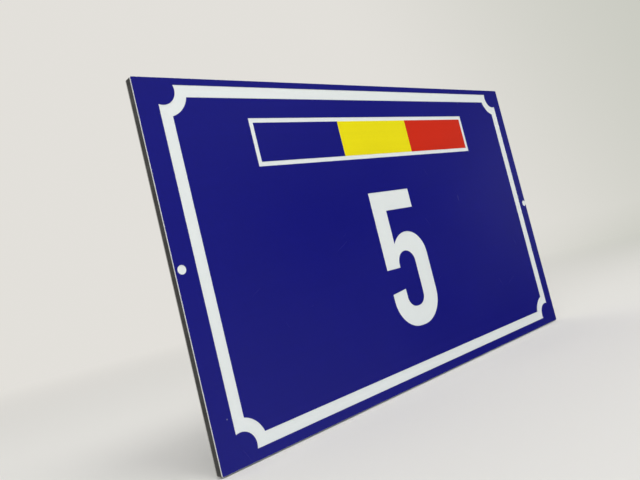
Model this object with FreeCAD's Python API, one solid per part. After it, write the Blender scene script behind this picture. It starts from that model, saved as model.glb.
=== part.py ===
import FreeCAD, Part
import math
import os

# House number plaque in millimetres: a flat composite panel with a printed face.
# The origin is the centre of the back face. +X runs to the viewer's right, +Z up,
# and the printed face looks towards -Y.

# Composite panel: two metal skins bonded to a plastic core
panel_width = 250.0
panel_height = 150.0
panel_thickness = 4.0
skin_thickness = 0.5
corner_radius = 0.5

# Printed colour: a thin coat on the white front skin that stops just short of the cut edges
coat_thickness = 0.1
coat_setback = 0.1

# The whole print sits a little to the right of the panel's middle and a little high
print_shift_x = 1.2
print_shift_z = 0.7

# White border line with a scooped notch at each corner
border_margin_x = 7.9
border_margin_z = 3.6
border_line = 5.0
notch_radius = 6.15
notch_inset = 2.0

# Framed band of equal colour fields that hangs below the border's top run
band_field_names = ("blue_band", "yellow_band", "red_band")
band_field_width = 50.0
band_field_height = 17.2
band_line = 2.0
band_gap = 8.8

# House number 5, sized by its strokes and the spaces between them
stem_stroke = 9.8
counter_width = 12.2
bowl_side_stroke = 10.5
bowl_top_stroke = 9.4
bowl_base_stroke = 9.8
bowl_base_flat = 2.4
counter_base_flat = 1.3
crown_overlap = 2.5
hook_straight = 3.2
hook_rise = 1.2
mouth_height = 10.6
stem_tip = 1.6
flag_gap = 11.8
flag_stroke = 9.7
flag_length = 29.9
numeral_drop = 0.3

# White spots at the height of the print's middle, one near each end of the panel
spot_diameter = 3.6
spot_inset = 2.3
spot_shift_x = 0.6

# Sizes and heights that follow from the ones above
core_thickness = panel_thickness - 2 * skin_thickness
print_plane_y = -panel_thickness
border_width = panel_width - 2 * border_margin_x
border_height = panel_height - 2 * border_margin_z
band_width = len(band_field_names) * band_field_width
band_top_z = print_shift_z + border_height / 2 - border_line - band_gap - band_line
band_bottom_z = band_top_z - band_field_height
band_middle_z = (band_top_z + band_bottom_z) / 2


def point(x, z):
    """A point on the printed plane."""
    return FreeCAD.Vector(x, print_plane_y, z)


def line(start, end):
    return Part.LineSegment(point(*start), point(*end)).toShape()


def arc(centre, radius, start_deg, end_deg):
    """An arc round a centre, from one angle to another, anticlockwise from +X."""
    angles = [math.radians(a) for a in (start_deg, (start_deg + end_deg) / 2, end_deg)]
    ends = [point(centre[0] + radius * math.cos(a), centre[1] + radius * math.sin(a)) for a in angles]
    return Part.Arc(*ends).toShape()


def rectangle_face(centre_x, centre_z, width, height):
    """A sharp-cornered face on the printed plane."""
    left = centre_x - width / 2
    right = centre_x + width / 2
    bottom = centre_z - height / 2
    top = centre_z + height / 2
    corners = [(left, bottom), (right, bottom), (right, top), (left, top)]
    return Part.Face(Part.Wire([line(corners[i - 1], corners[i]) for i in range(4)]))


def disc_face(centre_x, centre_z, radius):
    """A round face on the printed plane."""
    circle = Part.Circle(point(centre_x, centre_z), FreeCAD.Vector(0, -1, 0), radius)
    return Part.Face(Part.Wire([circle.toShape()]))


def panel_face(setback):
    """The panel's outline moved inwards by setback, with its slightly eased corners."""
    half_x = panel_width / 2 - setback
    half_z = panel_height / 2 - setback
    radius = corner_radius - setback
    straight_x = half_x - radius
    straight_z = half_z - radius
    edges = [
        line((-straight_x, -half_z), (straight_x, -half_z)),
        arc((straight_x, -straight_z), radius, -90, 0),
        line((half_x, -straight_z), (half_x, straight_z)),
        arc((straight_x, straight_z), radius, 0, 90),
        line((straight_x, half_z), (-straight_x, half_z)),
        arc((-straight_x, straight_z), radius, 90, 180),
        line((-half_x, straight_z), (-half_x, -straight_z)),
        arc((-straight_x, -straight_z), radius, 180, 270),
    ]
    return Part.Face(Part.Wire(edges))


def panel_layer(depth, thickness):
    """One full-size layer of the panel, whose front lies at a depth behind the printed plane."""
    layer = panel_face(0).extrude(FreeCAD.Vector(0, thickness, 0))
    layer.translate(FreeCAD.Vector(0, depth, 0))
    return layer


def coat(face):
    """A printed field: a face raised from the front skin by the coat's thickness."""
    return face.extrude(FreeCAD.Vector(0, -coat_thickness, 0))


def border_face(inset):
    """The border's outline moved inwards by inset: a rectangle with a round bite at each corner.

    The bites are centred a little inside the border's outer corners and widen with the inset,
    so the line left between two such outlines keeps one width all the way round.
    """
    face = rectangle_face(print_shift_x, print_shift_z, border_width - 2 * inset, border_height - 2 * inset)
    bite_x = border_width / 2 - notch_inset
    bite_z = border_height / 2 - notch_inset
    bites = [
        disc_face(print_shift_x + side * bite_x, print_shift_z + end * bite_z, notch_radius + inset)
        for side in (-1, 1)
        for end in (-1, 1)
    ]
    return face.cut(bites)


def numeral_face():
    """The number 5 as one closed outline of straight strokes and tangent arcs.

    It hangs a touch below the middle of the space between the band's frame and the border's bottom run.
    """
    numeral_width = stem_stroke + counter_width + bowl_side_stroke
    left = print_shift_x - numeral_width / 2
    right = left + numeral_width
    inner_left = left + stem_stroke
    inner_right = right - bowl_side_stroke

    base_radius = (numeral_width - bowl_base_flat) / 2
    counter_base_radius = (counter_width - counter_base_flat) / 2
    counter_crown_radius = counter_width / 2
    crown_radius = (right - inner_left + crown_overlap) / 2

    hook_height = base_radius + hook_straight
    stem_foot_height = hook_height + hook_rise + mouth_height
    counter_crown_height = stem_foot_height + stem_tip
    bowl_height = counter_crown_height + counter_crown_radius + bowl_top_stroke
    numeral_height = bowl_height + flag_gap + flag_stroke

    border_bottom_z = print_shift_z - border_height / 2 + border_line
    space_middle_z = (band_bottom_z - band_line + border_bottom_z) / 2
    bottom = space_middle_z - numeral_drop - numeral_height / 2
    top = bottom + numeral_height
    flag_right = left + flag_length
    flag_bottom = top - flag_stroke
    hook_outer = (left, bottom + hook_height)
    hook_inner = (inner_left, bottom + hook_height + hook_rise)

    base_left = (left + base_radius, bottom + base_radius)
    base_right = (right - base_radius, bottom + base_radius)
    counter_floor = bottom + bowl_base_stroke
    counter_left = (inner_left + counter_base_radius, counter_floor + counter_base_radius)
    counter_right = (inner_right - counter_base_radius, counter_floor + counter_base_radius)
    counter_crown = (inner_left + counter_crown_radius, bottom + counter_crown_height)

    crown = (right - crown_radius, bottom + bowl_height - crown_radius)
    shoulder_deg = math.degrees(math.acos((inner_left - crown[0]) / crown_radius))
    shoulder_z = crown[1] + crown_radius * math.sin(math.radians(shoulder_deg))

    edges = [
        line((left, top), (flag_right, top)),
        line((flag_right, top), (flag_right, flag_bottom)),
        line((flag_right, flag_bottom), (inner_left, flag_bottom)),
        line((inner_left, flag_bottom), (inner_left, shoulder_z)),
        arc(crown, crown_radius, shoulder_deg, 0),
        line((right, crown[1]), (right, base_right[1])),
        arc(base_right, base_radius, 0, -90),
        line((base_right[0], bottom), (base_left[0], bottom)),
        arc(base_left, base_radius, -90, -180),
        line((left, base_left[1]), hook_outer),
        line(hook_outer, hook_inner),
        line(hook_inner, (inner_left, counter_left[1])),
        arc(counter_left, counter_base_radius, -180, -90),
        line((counter_left[0], counter_floor), (counter_right[0], counter_floor)),
        arc(counter_right, counter_base_radius, -90, 0),
        line((inner_right, counter_right[1]), (inner_right, counter_crown[1])),
        arc(counter_crown, counter_crown_radius, 0, 180),
        line((inner_left, counter_crown[1]), (inner_left, counter_crown[1] - stem_tip)),
        line((inner_left, counter_crown[1] - stem_tip), (left, counter_crown[1] - stem_tip)),
        line((left, counter_crown[1] - stem_tip), (left, top)),
    ]
    return Part.Face(Part.Wire(edges))


def band_frame_face():
    """The band with its white frame, as one rectangle."""
    return rectangle_face(
        print_shift_x, band_middle_z, band_width + 2 * band_line, band_field_height + 2 * band_line
    )


def spot_faces():
    spot_x = panel_width / 2 - spot_inset
    return [disc_face(spot_shift_x + side * spot_x, print_shift_z, spot_diameter / 2) for side in (-1, 1)]


def blue_margin():
    """Blue between the panel's edge and the border, open at the two white spots."""
    return coat(panel_face(coat_setback).cut([border_face(0)] + spot_faces()))


def blue_ground():
    """Blue inside the border, open round the band and at the numeral."""
    return coat(border_face(border_line).cut([band_frame_face(), numeral_face()]))


def band_field(index):
    """One of the band's colour fields, counted from the left. They meet side to side."""
    centre_x = print_shift_x - band_width / 2 + (index + 0.5) * band_field_width
    return coat(rectangle_face(centre_x, band_middle_z, band_field_width, band_field_height))


nodes = {
    "front_skin": panel_layer(0, skin_thickness),
    "core": panel_layer(skin_thickness, core_thickness),
    "back_skin": panel_layer(skin_thickness + core_thickness, skin_thickness),
    "blue_margin": blue_margin(),
    "blue_ground": blue_ground(),
}
for index, name in enumerate(band_field_names):
    nodes[name] = band_field(index)

os.makedirs("parts", exist_ok=True)
for name, shape in nodes.items():
    shape.exportStep("parts/" + name + ".step")
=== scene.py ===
import math

import bmesh
import bpy
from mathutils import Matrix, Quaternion, Vector


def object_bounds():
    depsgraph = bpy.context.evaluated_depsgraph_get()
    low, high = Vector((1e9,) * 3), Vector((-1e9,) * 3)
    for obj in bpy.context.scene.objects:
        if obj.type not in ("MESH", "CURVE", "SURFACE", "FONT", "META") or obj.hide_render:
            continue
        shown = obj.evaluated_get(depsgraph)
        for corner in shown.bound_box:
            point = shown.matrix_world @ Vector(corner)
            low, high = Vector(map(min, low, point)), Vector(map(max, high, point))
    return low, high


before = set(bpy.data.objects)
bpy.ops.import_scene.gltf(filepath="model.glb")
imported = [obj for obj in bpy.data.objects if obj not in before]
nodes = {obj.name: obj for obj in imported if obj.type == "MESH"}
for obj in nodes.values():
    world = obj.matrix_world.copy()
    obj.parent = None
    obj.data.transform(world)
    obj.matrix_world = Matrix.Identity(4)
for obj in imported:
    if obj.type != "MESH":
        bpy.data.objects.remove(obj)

# House number plaque: a gloss print on the white face of a metal and plastic panel.
# Names that end in _mm, the grain of the finishes and the blemishes are in millimetres in the part's
# frame. All other lengths are in metres. Names that end in _deg are in degrees. Colours are linear.

cad_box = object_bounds()
METRES_PER_MM = 0.001

# Camera: low, at the plaque's left end, and tilted to the right
camera_lens_mm = 34.61
camera_place_mm = Vector((-233.98, -205.79, -14.31))
camera_aim_mm = Vector((-52.49, -4.0, 1.93))
camera_roll_deg = -13.87

# Colours of the print, the lacquers, the metal where it was cut, the plastic core and the dust
white_lacquer = (0.765, 0.800, 0.790)
blue_ink = (0.0030, 0.0036, 0.182)
yellow_ink = (0.815, 0.708, 0.000)
red_ink = (0.600, 0.018, 0.002)
back_primer = (0.600, 0.610, 0.610)
bare_metal = (0.780, 0.790, 0.820)
# Painted shade: the back skin's cut edge is the same bare metal, painted darker as if it stood in
# shade
painted_shade_metal = (0.400, 0.400, 0.390)
core_grey = (0.026, 0.025, 0.022)
pale_dust = (0.350, 0.360, 0.400)
dark_dust = (0.300, 0.300, 0.290)

# Roughness of each surface. Smudges and hairlines add a little to the gloss's own. With its smudges
# the gloss stays under 0.27, because a denoised picture outlines each place where it crosses that.
gloss_roughness = 0.20
smudge_roughness = 0.06
hairline_roughness = 0.06
primer_roughness = (0.42, 0.52)
cut_metal_roughness = 0.38
cut_plastic_roughness = (0.62, 0.77)

# Relief of each surface. The gloss's long waves are many times as high as its orange peel, and its
# hairlines are a share of the orange peel's height deep.
orange_peel_mm = 0.004
long_wave_height = 14
hairline_depth = 0.15
rolling_streak_mm = 0.006
metal_flute_mm = 0.03
plastic_flute_mm = 0.08

# How far each grain is drawn out along X, Y and Z
smudge_stretch = (1.6, 1, 1)
print_head_stretch = (60, 1, 1)
rolled_colour_stretch = (90, 1, 1)
rolled_relief_stretch = (70, 1, 1)
cutter_stretch = (1, 12, 1)
core_stretch = (1, 6, 1)

# Soft noise lies mostly between the first two values. Smudges go from none to full between the other
# two.
noise_span = (0.3, 0.7)
smudge_span = (0.25, 0.75)

# Two kinds of hairline in the gloss and in the primer, each with its lean from upright in degrees
# and its width
gloss_hairlines = ((28, 0.07), (-63, 0.06))
primer_hairlines = ((80, 0.12), (-40, 0.10))
primer_hairline_strength = 0.35

# Hairlines are the highest ridges of a noise that is drawn out along them, several widths apart, and
# a wider noise breaks them up
ridge_spacing_in_widths = 6
ridge_stretch = (1, 1, 70)
ridge_span = (0.74, 0.80)
break_wavelength = 22
break_span = (0.50, 0.60)

# Share of dust's cells that stay empty, and how strongly its nibs and the core's swarf show
empty_share = 0.5
dust_strength = 0.5
swarf_strength = 0.6

# A surface counts as front or back, and not as a cut edge, where its normal is this much along Y
face_share = 0.7

# Two pale blemishes of the blue print, each with its place, its width and height, and its strength
speck = ((-118.0, 0, -56.3), (0.7, 0.7), 0.42)
rub = ((56.1, 0, 10.7), (0.6, 4.4), 0.11)

# Floor: a disc just under the panel's lower edge, about as pale as the backdrop that it fades into
# between two distances from the plaque
floor_gap_mm = 0.5
floor_radius = 40.0
floor_segments = 96
floor_fade = (0.2, 1.1)
floor_colour = (0.785, 0.770, 0.735)

# Backdrop: a warm white that turns a little greyer towards the front right and up. The range is of
# the cosine of the angle to that direction.
backdrop_white = (0.765, 0.745, 0.705)
backdrop_grey = (0.580, 0.588, 0.528)
backdrop_turn = Vector((1, -1, 0.5)).normalized()
backdrop_turn_range = (0.15, 0.60)

# What the gloss mirrors: behind the plaque the backdrop, and in front of it a dim room with a paler
# floor. The first range is along +Y, and says where the backdrop turns into the room. The second is
# along +Z, and says where the room turns into its floor.
room_range = (-0.05, -0.35)
room_floor_range = (-0.2, -0.5)
room_brightness = 0.04
room_floor_brightness = 0.35

# Soft pale patches in the room, each with its azimuth from -Y towards +X, its elevation and the angle
# from its middle at which it has faded, all in degrees, and its brightness
room_patches = (
    (26, -12, 20, 0.18),
    (26, 18, 20, 0.16),
    (50, 24, 20, 0.12),
    (62, 6, 8, 0.17),
    (62, 0, 8, 0.12),
    (44, -12, 8, 0.06),
    (38, -6, 20, 0.05),
)

# Light: the world's even light, and large soft lamps, each with its place, size, power in watts and
# colour
white_light = (1.0, 1.0, 1.0)
world_strength = 0.38
lamps = {
    "key_lamp": ((-1.4, -0.8, 0.35), 0.8, 8.5, (0.96, 1.0, 1.08)),
    "over_lamp": ((-0.2, -0.8, 1.6), 1.2, 13.5, white_light),
    "top_lamp": ((0.3, -1.6, 2.0), 1.2, 16.0, (1.0, 1.0, 0.96)),
    "rear_lamp": ((0.3, 1.1, 1.0), 1.0, 2.5, white_light),
}


class Graph:
    """Adds nodes to a material's or the world's tree.

    An input takes a socket to link or a value to set.
    """

    def __init__(self, owner):
        owner.use_nodes = True
        self.tree = owner.node_tree
        self.tree.nodes.clear()

    def feed(self, socket, value):
        if isinstance(value, bpy.types.NodeSocket):
            self.tree.links.new(value, socket)
        elif socket.type == "RGBA":
            socket.default_value = (*value, 1)
        else:
            socket.default_value = value

    def add(self, kind, inputs=None, **settings):
        node = self.tree.nodes.new("ShaderNode" + kind)
        for name, value in settings.items():
            setattr(node, name, value)
        for name, value in (inputs or {}).items():
            self.feed(node.inputs[name], value)
        return node

    def math(self, operation, *values):
        return self.add("Math", dict(enumerate(values)), operation=operation).outputs[0]

    def vector(self, operation, *values):
        return self.add("VectorMath", dict(enumerate(values)), operation=operation).outputs[0]

    def scale(self, vector, factor):
        return self.add("VectorMath", {0: vector, "Scale": factor}, operation="SCALE").outputs[0]

    def dot(self, first, second):
        inputs = {0: first, 1: second}
        return self.add("VectorMath", inputs, operation="DOT_PRODUCT").outputs["Value"]

    def length(self, vector):
        return self.add("VectorMath", {0: vector}, operation="LENGTH").outputs["Value"]

    def ramp(self, value, start, end, low=0.0, high=1.0):
        """Turns smoothly from low to high as the value goes from start to end."""
        inputs = {"Value": value, "From Min": start, "From Max": end, "To Min": low, "To Max": high}
        return self.add("MapRange", inputs, interpolation_type="SMOOTHSTEP").outputs[0]

    def mix(self, factor, first, second):
        """Turns from the first number to the second as the factor goes from 0 to 1."""
        inputs = {"Value": factor, "From Min": 0, "From Max": 1, "To Min": first, "To Max": second}
        return self.add("MapRange", inputs).outputs[0]

    def blend(self, factor, first, second):
        """Turns from the first colour to the second as the factor goes from 0 to 1."""
        # A mix node keeps its colours in inputs 6 and 7 and in output 2
        node = self.add("Mix", data_type="RGBA")
        for socket, value in zip((0, 6, 7), (factor, first, second)):
            self.feed(node.inputs[socket], value)
        return node.outputs[2]

    def tint(self, colour, mask, other, strength):
        """Turns the colour towards another by a strength where the mask is 1."""
        return self.blend(self.math("MULTIPLY", mask, strength), colour, other)

    def noise(self, place, wavelength, detail=2.0, stretch=(1, 1, 1)):
        """Soft noise round 0.5, drawn out along each axis by its stretch."""
        squeezed = self.vector("DIVIDE", place, stretch)
        inputs = {"Vector": squeezed, "Scale": 1 / wavelength, "Detail": detail}
        return self.add("TexNoise", inputs).outputs[0]

    def bump(self, height, height_mm):
        """The normal of a relief that is height_mm high where its height is 1."""
        inputs = {"Strength": 1, "Distance": height_mm * METRES_PER_MM, "Height": height}
        return self.add("Bump", inputs).outputs[0]


def place_in_mm(graph):
    """The surface point in the part's frame, in millimetres."""
    point = graph.add("TexCoord").outputs["Object"]
    return graph.scale(point, 1 / METRES_PER_MM)


def flattened(graph, place):
    """The point without its depth into the panel."""
    return graph.vector("MULTIPLY", place, (1, 0, 1))


def on_face(graph):
    """1 on the panel's front and back, 0 on its cut edges."""
    normal = graph.add("TexCoord").outputs["Normal"]
    facing = graph.math("ABSOLUTE", graph.dot(normal, (0, 1, 0)))
    return graph.math("GREATER_THAN", facing, face_share)


def uneven(graph, place, colour, share, wavelength, stretch=(1, 1, 1)):
    """The colour, darker and lighter by a share in soft patches."""
    patches = graph.noise(place, wavelength, detail=3, stretch=stretch)
    return graph.scale(colour, graph.ramp(patches, *noise_span, low=1 - share, high=1 + share))


def dust(graph, place, spacing, radius):
    """1 on scattered nibs of dust up to a radius, 0 elsewhere."""
    inputs = {"Vector": flattened(graph, place), "Scale": 1 / spacing}
    cells = graph.add("TexVoronoi", inputs).outputs
    chance = graph.add("SeparateColor", {0: cells["Color"]}).outputs[0]
    reach = graph.ramp(chance, empty_share, 1, low=0, high=radius / spacing)
    return graph.math("LESS_THAN", cells["Distance"], reach)


def hairlines(graph, place, lean_deg, width):
    """1 on straight fine scratches that lean from upright and come and go, 0 elsewhere."""
    inputs = {"Vector": flattened(graph, place), "Angle": math.radians(lean_deg)}
    turned = graph.add("VectorRotate", inputs, rotation_type="Y_AXIS").outputs[0]
    ridges = graph.noise(turned, ridge_spacing_in_widths * width, detail=1, stretch=ridge_stretch)
    breaks = graph.noise(turned, break_wavelength, detail=1)
    return graph.math("MULTIPLY", graph.ramp(ridges, *ridge_span), graph.ramp(breaks, *break_span))


def crossed_hairlines(graph, place, kinds):
    """1 on the hairlines of two kinds, each given by its lean and its width, 0 elsewhere."""
    first, second = (hairlines(graph, place, lean_deg, width) for lean_deg, width in kinds)
    return graph.math("MAXIMUM", first, second)


def within(graph, place, centre, width, height):
    """1 in the inner half of an oval on the face, fading to 0 at its edge."""
    offset = graph.vector("SUBTRACT", flattened(graph, place), centre)
    distance = graph.length(graph.vector("DIVIDE", offset, (width / 2, 1, height / 2)))
    return graph.ramp(distance, 0.5, 1, low=1, high=0)


def gloss_coat(graph, place):
    """Roughness and normal of the clear gloss that lies over the white and every ink alike."""
    scratched = crossed_hairlines(graph, place, gloss_hairlines)
    smudges = graph.noise(place, wavelength=45, detail=3, stretch=smudge_stretch)
    smudged = graph.ramp(smudges, *smudge_span)
    rough = graph.math("MULTIPLY_ADD", smudged, smudge_roughness, gloss_roughness)
    rough = graph.math("MULTIPLY_ADD", scratched, hairline_roughness, rough)

    orange_peel = graph.noise(place, wavelength=1.6, detail=1)
    long_waves = graph.noise(place, wavelength=38, detail=1)
    height = graph.math("ADD", orange_peel, graph.math("MULTIPLY", long_waves, long_wave_height))
    height = graph.math("MULTIPLY_ADD", scratched, -hairline_depth, height)
    return rough, graph.bump(height, orange_peel_mm)


def cutter_flutes(graph, place, depth_mm):
    """The normal of the fine flutes that the cutter left on the panel's edge."""
    flutes = graph.noise(place, wavelength=0.45, detail=3, stretch=cutter_stretch)
    return graph.bump(flutes, depth_mm)


def new_material(name):
    """A material with an unfinished shader: the material, its graph and the shader."""
    material = bpy.data.materials.new(name)
    graph = Graph(material)
    shader = graph.add("BsdfPrincipled")
    graph.add("OutputMaterial", {"Surface": shader.outputs[0]})
    return material, graph, shader


def finish_shader(graph, shader, colour, rough, normal, metallic=0.0):
    """Gives the shader its colour, roughness and normal, and says how much it is metal."""
    graph.feed(shader.inputs["Base Color"], colour)
    graph.feed(shader.inputs["Roughness"], rough)
    graph.feed(shader.inputs["Normal"], normal)
    graph.feed(shader.inputs["Metallic"], metallic)


def finish_skin(graph, shader, place, cut_colour, colour, rough, normal):
    """Gives a skin its colour, roughness and normal on its face, and fluted metal where it was cut."""
    face = on_face(graph)
    colour = graph.blend(face, cut_colour, colour)
    rough = graph.mix(face, cut_metal_roughness, rough)
    normal = graph.blend(face, cutter_flutes(graph, place, metal_flute_mm), normal)
    finish_shader(graph, shader, colour, rough, normal, metallic=graph.math("SUBTRACT", 1, face))


def print_material(name, ink, blemishes=()):
    """A gloss ink: uneven by a hair, with bands along the print head's path and nibs of dust."""
    material, graph, shader = new_material(name)
    place = place_in_mm(graph)
    colour = uneven(graph, place, ink, share=0.025, wavelength=55)
    colour = uneven(graph, place, colour, share=0.010, wavelength=2.4, stretch=print_head_stretch)
    colour = uneven(graph, place, colour, share=0.020, wavelength=0.5)
    nibs = dust(graph, place, spacing=13, radius=0.14)
    colour = graph.tint(colour, nibs, pale_dust, dust_strength)
    for centre, (width, height), strength in blemishes:
        mark = within(graph, place, centre, width, height)
        colour = graph.tint(colour, mark, pale_dust, strength)
    rough, normal = gloss_coat(graph, place)
    finish_shader(graph, shader, colour, rough, normal)
    return material


def front_skin_material():
    """White lacquer under the clear gloss, and bright bare metal where the sheet was cut."""
    material, graph, shader = new_material("white_lacquer_on_metal")
    place = place_in_mm(graph)
    white = uneven(graph, place, white_lacquer, share=0.008, wavelength=60)
    white = uneven(graph, place, white, share=0.008, wavelength=0.7)
    nibs = dust(graph, place, spacing=11, radius=0.12)
    white = graph.tint(white, nibs, dark_dust, dust_strength)
    rough, normal = gloss_coat(graph, place)
    metal = uneven(graph, place, bare_metal, share=0.10, wavelength=0.5, stretch=cutter_stretch)
    finish_skin(graph, shader, place, metal, white, rough, normal)
    return material


def back_skin_material():
    """Satin primer with faint rolling streaks, and metal painted darker where it was cut: painted
    shade.
    """
    material, graph, shader = new_material("primer_on_metal")
    place = place_in_mm(graph)
    primer = uneven(
        graph, place, back_primer, share=0.02, wavelength=1.8, stretch=rolled_colour_stretch
    )
    primer = uneven(graph, place, primer, share=0.03, wavelength=48)
    scratched = crossed_hairlines(graph, place, primer_hairlines)
    primer = graph.tint(primer, scratched, bare_metal, primer_hairline_strength)
    rough = graph.ramp(graph.noise(place, wavelength=30), *noise_span, *primer_roughness)
    streaks = graph.noise(place, wavelength=1.2, stretch=rolled_relief_stretch)
    normal = graph.bump(streaks, rolling_streak_mm)
    # Painted shade: the back skin's cut edge is painted darker than the front skin's bare metal
    metal = uneven(graph, place, painted_shade_metal, share=0.15, wavelength=0.5, stretch=cutter_stretch)
    finish_skin(graph, shader, place, metal, primer, rough, normal)
    return material


def core_material():
    """Dark recycled plastic with pale swarf, dull and fluted where the cutter went through it."""
    material, graph, shader = new_material("cut_core_plastic")
    place = place_in_mm(graph)
    colour = uneven(graph, place, core_grey, share=0.30, wavelength=9)
    colour = uneven(graph, place, colour, share=0.22, wavelength=0.7, stretch=core_stretch)
    swarf = dust(graph, place, spacing=3, radius=0.167)
    colour = graph.tint(colour, swarf, pale_dust, swarf_strength)
    rough = graph.ramp(graph.noise(place, wavelength=3), *noise_span, *cut_plastic_roughness)
    normal = cutter_flutes(graph, place, plastic_flute_mm)
    finish_shader(graph, shader, colour, rough, normal)
    return material


def dress(node_names, material):
    """Gives some CAD nodes one finish."""
    for name in node_names:
        for slot in nodes[name].material_slots:
            slot.material = material


def dress_plaque():
    """Gives every CAD node its finish. The three blue pieces share one."""
    dress(["front_skin"], front_skin_material())
    dress(["core"], core_material())
    dress(["back_skin"], back_skin_material())
    blue_gloss_print = print_material("blue_gloss_print", blue_ink, blemishes=(speck, rub))
    dress(["blue_margin", "blue_ground", "blue_band"], blue_gloss_print)
    dress(["yellow_band"], print_material("yellow_gloss_print", yellow_ink))
    dress(["red_band"], print_material("red_gloss_print", red_ink))


def add_object(name, data):
    """A new object in the scene."""
    thing = bpy.data.objects.new(name, data)
    bpy.context.scene.collection.objects.link(thing)
    return thing


def backdrop_colour(graph, direction):
    """The backdrop's colour as seen in a direction from the plaque."""
    turned = graph.ramp(graph.dot(direction, backdrop_turn), *backdrop_turn_range)
    return graph.blend(turned, backdrop_white, backdrop_grey)


def floor_material():
    """Plain pale paint that fades into the backdrop with its distance from the plaque."""
    material = bpy.data.materials.new("floor")
    graph = Graph(material)
    point = graph.add("TexCoord").outputs["Object"]
    near = graph.add("BsdfDiffuse", {"Color": floor_colour}).outputs[0]
    far_colour = backdrop_colour(graph, graph.vector("NORMALIZE", point))
    far = graph.add("Emission", {"Color": far_colour}).outputs[0]
    fade = graph.ramp(graph.length(point), *floor_fade)
    faded = graph.add("MixShader", {0: fade, 1: near, 2: far}).outputs[0]
    graph.add("OutputMaterial", {"Surface": faded})
    return material


def build_floor():
    """A wide disc that takes the plaque's shadow. The gloss mirrors the room's floor in its place."""
    mesh = bpy.data.meshes.new("floor")
    disc = bmesh.new()
    bmesh.ops.create_circle(disc, cap_ends=True, segments=floor_segments, radius=floor_radius)
    disc.to_mesh(mesh)
    disc.free()
    mesh.materials.append(floor_material())
    floor = add_object("floor", mesh)
    floor.location.z = cad_box[0].z - floor_gap_mm * METRES_PER_MM
    floor.visible_glossy = False


def towards(azimuth_deg, elevation_deg):
    """A direction in front of the plaque, by its azimuth from -Y towards +X and its elevation."""
    azimuth = math.radians(azimuth_deg)
    elevation = math.radians(elevation_deg)
    level = math.cos(elevation)
    return (math.sin(azimuth) * level, -math.cos(azimuth) * level, math.sin(elevation))


def room_light(graph, direction):
    """How bright the room in front of the plaque is in the gloss, in a direction."""
    height = graph.dot(direction, (0, 0, 1))
    light = graph.ramp(height, *room_floor_range, room_brightness, room_floor_brightness)
    for azimuth_deg, elevation_deg, reach_deg, brightness in room_patches:
        nearness = graph.dot(direction, towards(azimuth_deg, elevation_deg))
        faded = math.cos(math.radians(reach_deg))
        patch = graph.ramp(nearness, faded, 1, low=0, high=brightness)
        light = graph.math("ADD", light, patch)
    return light


def build_world():
    """Even light on the plaque, and what the camera and the gloss see round it."""
    world = bpy.data.worlds.new("studio")
    bpy.context.scene.world = world
    graph = Graph(world)
    direction = graph.add("TexCoord").outputs["Generated"]
    rays = graph.add("LightPath").outputs
    backdrop = backdrop_colour(graph, direction)
    in_front = graph.ramp(graph.dot(direction, (0, 1, 0)), *room_range)
    mirrored = graph.blend(in_front, backdrop, room_light(graph, direction))
    seen = graph.blend(rays["Is Glossy Ray"], backdrop, mirrored)
    shown = graph.math("MAXIMUM", rays["Is Camera Ray"], rays["Is Glossy Ray"])
    shown = graph.math("MAXIMUM", shown, rays["Is Transmission Ray"])
    even_light = {"Strength": world_strength, "Color": white_light}
    light = graph.add("Background", even_light).outputs[0]
    picture = graph.add("Background", {"Strength": 1, "Color": seen}).outputs[0]
    surroundings = graph.add("MixShader", {0: shown, 1: light, 2: picture}).outputs[0]
    graph.add("OutputWorld", {"Surface": surroundings})


def build_lamps():
    """Large soft square lamps that face the plaque."""
    for name, (place, size, power, colour) in lamps.items():
        light = bpy.data.lights.new(name, "AREA")
        light.size = size
        light.energy = power
        light.color = colour
        lamp = add_object(name, light)
        lamp.location = place
        lamp.rotation_euler = (-Vector(place)).to_track_quat("-Z", "Y").to_euler()
        lamp.visible_camera = False


def build_camera():
    """The photo's view, rolled round its line of sight."""
    view = bpy.data.cameras.new("camera")
    view.lens = camera_lens_mm
    camera = add_object("camera", view)
    aimed = (camera_aim_mm - camera_place_mm).to_track_quat("-Z", "Y")
    rolled = aimed @ Quaternion((0, 0, 1), math.radians(camera_roll_deg))
    camera.rotation_euler = rolled.to_euler()
    camera.location = camera_place_mm * METRES_PER_MM
    bpy.context.scene.camera = camera


dress_plaque()
build_floor()
build_world()
build_lamps()
build_camera()
bpy.context.scene.view_settings.view_transform = "Standard"
